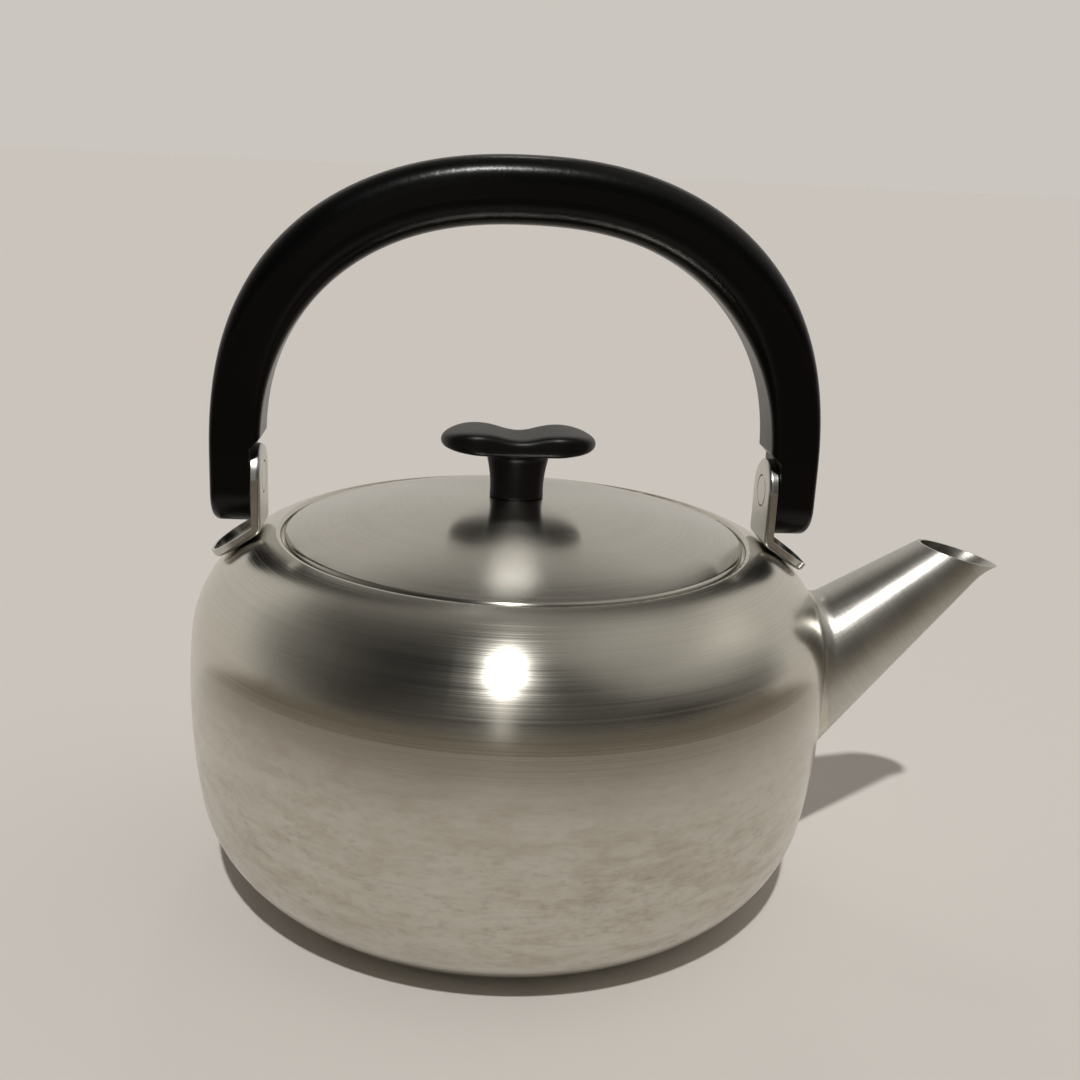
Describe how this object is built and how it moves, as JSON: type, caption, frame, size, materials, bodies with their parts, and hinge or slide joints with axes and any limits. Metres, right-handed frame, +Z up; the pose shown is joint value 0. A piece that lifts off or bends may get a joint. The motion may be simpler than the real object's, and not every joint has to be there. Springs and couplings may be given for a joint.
{
  "type": "stovetop kettle",
  "caption": "Round squat stovetop kettle with a straight slanted spout, a lift-off domed lid with a two-lobed knob, and a folding arched handle.",
  "frame": {"origin": "centre of the flat underside of the base, on the axis of the round body", "axes": "+Z up along the body's axis, +X towards the spout, Y across; the handle's pivots lie along X"},
  "size_m": [0.2513, 0.195, 0.2203],
  "materials": {
    "body_steel": "satin, brushed round the body",
    "spout_steel": "satin, brushed",
    "base_steel": "satin, turned",
    "bracket_steel": "smooth, tumbled edges",
    "lid_steel": "satin, brushed round the dome",
    "pin_steel": "turned, polished head",
    "screw_steel": "plain",
    "washer_steel": "plain",
    "insert_brass": "turned",
    "handle_phenolic": "satin gloss black phenolic moulding",
    "knob_phenolic": "satin gloss black phenolic moulding"
  },
  "bodies": {
    "vessel": {"body_shell": "body_steel", "spout": "spout_steel", "base_plate": "base_steel", "left_bracket": "bracket_steel", "right_bracket": "bracket_steel"},
    "bail": {"handle": "handle_phenolic", "left_pivot_pin": "pin_steel", "right_pivot_pin": "pin_steel", "left_handle_insert": "insert_brass", "right_handle_insert": "insert_brass", "left_spring_washer": "washer_steel", "right_spring_washer": "washer_steel"},
    "lid": {"lid_dome": "lid_steel", "lid_skirt": "lid_steel", "lid_knob": "knob_phenolic", "knob_insert": "insert_brass", "knob_screw": "screw_steel", "knob_washer": "washer_steel"}
  },
  "joints": [
    {"name": "handle_swing", "type": "hinge", "parent": "vessel", "child": "bail", "pos_m": [0, 0, 0.12435], "axis": [1, 0, 0], "range_deg": [-90, 90]},
    {"name": "lid_lift", "type": "slide", "parent": "vessel", "child": "lid", "axis": [0, 0, 1], "range_m": [0, 0.045]}
  ]
}
